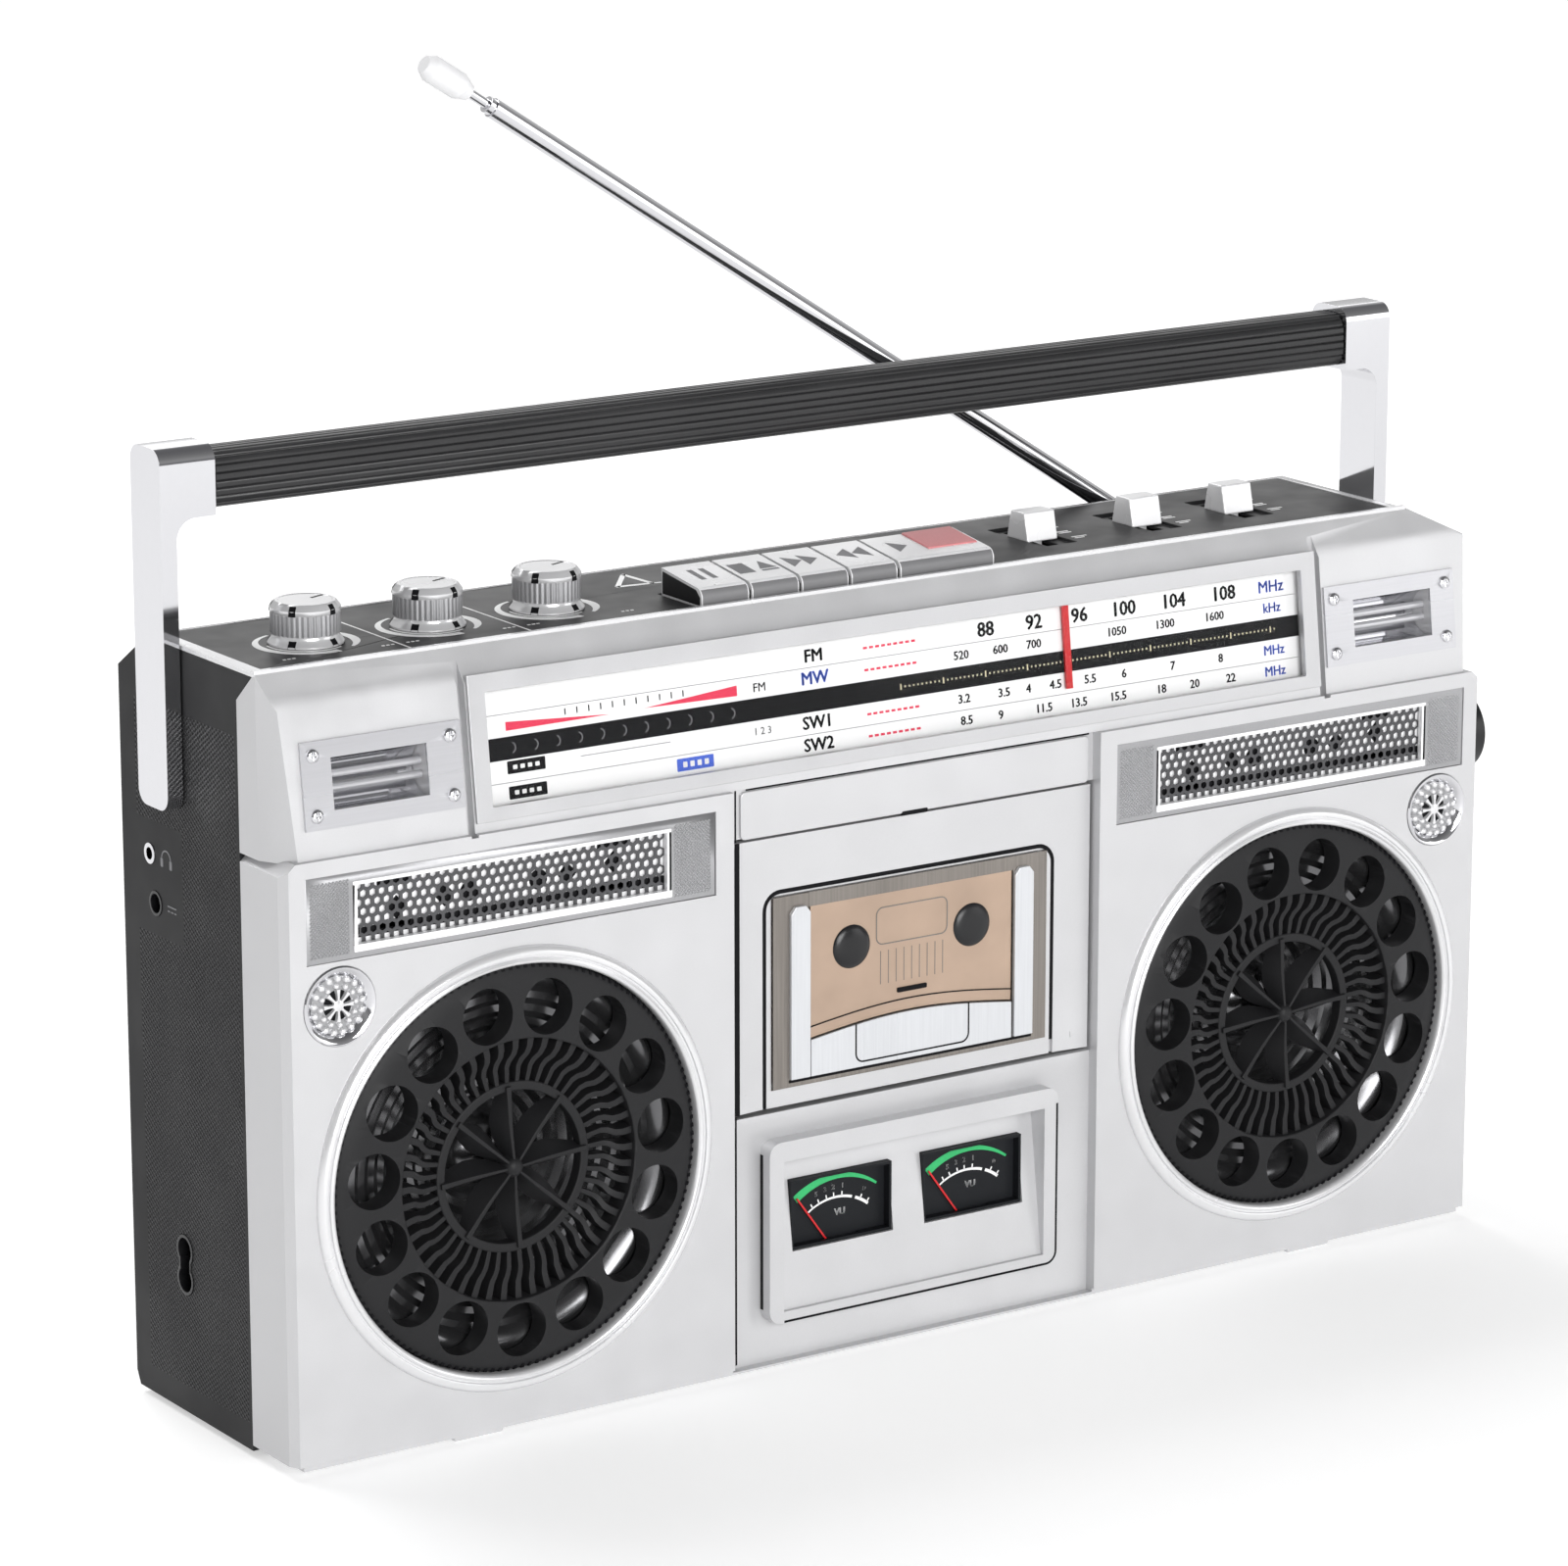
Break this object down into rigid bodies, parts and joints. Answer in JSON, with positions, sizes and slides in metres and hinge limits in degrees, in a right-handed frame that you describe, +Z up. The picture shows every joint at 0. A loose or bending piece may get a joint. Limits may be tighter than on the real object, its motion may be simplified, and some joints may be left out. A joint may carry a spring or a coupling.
{
  "type": "cassette player",
  "caption": "Portable radio cassette player with round speaker grilles, folding handle, telescopic antenna and front cassette door.",
  "frame": {"origin": "on the ground, under the middle of the object", "axes": "+X to the right seen from the front, +Y to the back, +Z up"},
  "size_m": [0.4304, 0.094, 0.3784],
  "materials": {
    "silver_shell": "silver painted plastic, satin",
    "dark_shell": "dark grey textured plastic",
    "dark_panel": "dark grey smooth panel",
    "bright_trim": "bright silver plastic",
    "dial_silver": "light silver plastic",
    "dial_print": "white printed scale",
    "clear": "clear acrylic",
    "tinted": "brown tinted acrylic",
    "red": "red plastic",
    "pink": "faded red plastic",
    "chrome": "polished chrome",
    "plate": "fine brushed plate",
    "grille_dark": "dark grey moulded plastic",
    "black": "black plastic",
    "meter_black": "black meter face",
    "key_silver": "silver plastic key",
    "grip_black": "black ribbed grip",
    "steel": "plain steel",
    "deck_plate": "satin deck plate",
    "cone": "silver speaker cone",
    "white_cap": "white plastic",
    "board": "green circuit board",
    "iron": "transformer core"
  },
  "bodies": {
    "cabinet": {"front_cabinet": "silver_shell", "rear_cabinet": "dark_shell", "top_panel": "dark_panel", "top_bezel": "bright_trim", "dial_frame": "dial_silver", "dial_scale": "dial_print", "dial_window": "clear", "corner_plates": "plate", "screws": "chrome", "speaker_rings": "bright_trim", "speaker_grille_left": "grille_dark", "speaker_grille_right": "grille_dark", "speaker_drivers": "steel", "speaker_cones": "cone", "horn_frames": "silver_shell", "horn_meshes": "chrome", "mic_grilles": "chrome", "vu_panel": "silver_shell", "vu_meters": "meter_black", "cassette_deck": "deck_plate", "deck_motor": "steel", "handle_pivots": "steel", "phones_jack": "chrome", "dc_jack": "black", "ac_inlet": "black", "feet": "silver_shell", "circuit_board": "board", "transformer": "iron", "battery_contacts": "steel"},
    "handle": {"handle_arm_left": "chrome", "handle_arm_right": "chrome", "handle_grip": "grip_black"},
    "antenna_swivel": {"antenna_base": "chrome"},
    "antenna_outer": {"antenna_tube_1": "chrome"},
    "antenna_middle": {"antenna_tube_2": "chrome"},
    "antenna_tip": {"antenna_tube_3": "chrome", "antenna_cap": "white_cap"},
    "door": {"cassette_door": "silver_shell", "door_window": "tinted"},
    "left_reel": {"reel_spindle_left": "black"},
    "right_reel": {"reel_spindle_right": "black"},
    "capstan": {"capstan_flywheel": "steel"},
    "head": {"head_bridge": "steel"},
    "pause": {"pause_key": "key_silver"},
    "stop": {"stop_key": "key_silver"},
    "forward": {"forward_key": "key_silver"},
    "rewind": {"rewind_key": "key_silver"},
    "record": {"record_key": "key_silver", "record_key_cap": "pink"},
    "volume": {"volume_knob": "bright_trim"},
    "balance": {"balance_knob": "bright_trim"},
    "tone": {"tone_knob": "bright_trim"},
    "band": {"band_switch": "key_silver"},
    "function": {"function_switch": "key_silver"},
    "mode": {"mode_switch": "key_silver"},
    "tuning": {"tuning_knob": "black"},
    "pointer": {"dial_pointer": "red"},
    "needle_left": {"vu_needle_left": "red"},
    "needle_right": {"vu_needle_right": "red"},
    "battery_cover": {"battery_door": "dark_shell"}
  },
  "joints": [
    {"name": "handle_fold", "type": "hinge", "parent": "cabinet", "child": "handle", "pos_m": [0, 0.018, 0.1887], "axis": [1, 0, 0], "range_deg": [-4, 90]},
    {"name": "antenna_turn", "type": "hinge", "parent": "cabinet", "child": "antenna_swivel", "pos_m": [0.141, 0.037, 0.2044], "axis": [0, 0, 1], "range_deg": [-120, 0]},
    {"name": "antenna_tilt", "type": "hinge", "parent": "antenna_swivel", "child": "antenna_outer", "pos_m": [0.141, 0.037, 0.2144], "axis": [0, 1, 0], "range_deg": [-32.4, 57.6]},
    {"name": "antenna_extend_middle", "type": "slide", "parent": "antenna_outer", "child": "antenna_middle", "axis": [-0.8443, 0, 0.5358], "range_m": [0, 0.22]},
    {"name": "antenna_extend_tip", "type": "slide", "parent": "antenna_middle", "child": "antenna_tip", "axis": [-0.8443, 0, 0.5358], "range_m": [0, 0.22]},
    {"name": "door_open", "type": "hinge", "parent": "cabinet", "child": "door", "pos_m": [0, -0.0378, 0.0837], "axis": [1, 0, 0], "range_deg": [0, 38]},
    {"name": "left_reel_turn", "type": "hinge", "parent": "cabinet", "child": "left_reel", "pos_m": [-0.02125, -0.027, 0.1231], "axis": [0, 1, 0], "continuous": true},
    {"name": "right_reel_turn", "type": "hinge", "parent": "cabinet", "child": "right_reel", "pos_m": [0.02125, -0.027, 0.1231], "axis": [0, 1, 0], "continuous": true},
    {"name": "capstan_turn", "type": "hinge", "parent": "cabinet", "child": "capstan", "pos_m": [0.009, -0.022, 0.0997], "axis": [0, 1, 0], "continuous": true},
    {"name": "pause_press", "type": "slide", "parent": "cabinet", "child": "pause", "axis": [0, 0, -1], "range_m": [0, 0.0035], "stiffness_N_per_m": 200, "springref_m": -0.001},
    {"name": "stop_press", "type": "slide", "parent": "cabinet", "child": "stop", "axis": [0, 0, -1], "range_m": [0, 0.0035], "stiffness_N_per_m": 200, "springref_m": -0.001},
    {"name": "forward_press", "type": "slide", "parent": "cabinet", "child": "forward", "axis": [0, 0, -1], "range_m": [0, 0.0035], "stiffness_N_per_m": 200, "springref_m": -0.001},
    {"name": "rewind_press", "type": "slide", "parent": "cabinet", "child": "rewind", "axis": [0, 0, -1], "range_m": [0, 0.0035], "stiffness_N_per_m": 200, "springref_m": -0.001},
    {"name": "record_press", "type": "slide", "parent": "cabinet", "child": "record", "axis": [0, 0, -1], "range_m": [0, 0.0035], "stiffness_N_per_m": 200, "springref_m": -0.001},
    {"name": "head_lift", "type": "slide", "parent": "cabinet", "child": "head", "axis": [0, 0, 1], "range_m": [0, 0.004]},
    {"name": "volume_turn", "type": "hinge", "parent": "cabinet", "child": "volume", "pos_m": [-0.179, -0.005, 0.2265], "axis": [0, 0, 1], "range_deg": [-150, 150]},
    {"name": "balance_turn", "type": "hinge", "parent": "cabinet", "child": "balance", "pos_m": [-0.1401, -0.005, 0.2265], "axis": [0, 0, 1], "range_deg": [-150, 150]},
    {"name": "tone_turn", "type": "hinge", "parent": "cabinet", "child": "tone", "pos_m": [-0.1012, -0.005, 0.2265], "axis": [0, 0, 1], "range_deg": [-150, 150]},
    {"name": "band_slide", "type": "slide", "parent": "cabinet", "child": "band", "axis": [0, 1, 0], "range_m": [-0.008, 0.008]},
    {"name": "function_slide", "type": "slide", "parent": "cabinet", "child": "function", "axis": [0, 1, 0], "range_m": [-0.008, 0.008]},
    {"name": "mode_slide", "type": "slide", "parent": "cabinet", "child": "mode", "axis": [0, 1, 0], "range_m": [-0.008, 0.008]},
    {"name": "tuning_turn", "type": "hinge", "parent": "cabinet", "child": "tuning", "pos_m": [0.21, -0.029, 0.1537], "axis": [1, 0, 0], "range_deg": [-210, 420]},
    {"name": "pointer_travel", "type": "slide", "parent": "cabinet", "child": "pointer", "axis": [1, 0, 0], "range_m": [-0.03, 0.06]},
    {"name": "needle_left_swing", "type": "hinge", "parent": "cabinet", "child": "needle_left", "pos_m": [-0.0234, -0.0371, 0.0289], "axis": [0, 1, 0], "range_deg": [0, 72]},
    {"name": "needle_right_swing", "type": "hinge", "parent": "cabinet", "child": "needle_right", "pos_m": [0.0234, -0.0371, 0.0289], "axis": [0, 1, 0], "range_deg": [0, 72]},
    {"name": "battery_cover_open", "type": "hinge", "parent": "cabinet", "child": "battery_cover", "pos_m": [0, 0.046, 0.0121], "axis": [-1, 0, 0], "range_deg": [0, 100]}
  ],
  "couplings": [
    {"joint": "pointer_travel", "follows": "tuning_turn", "m_per_rad": 0.008},
    {"joint": "head_lift", "follows": "record_press", "ratio": 1.14}
  ]
}
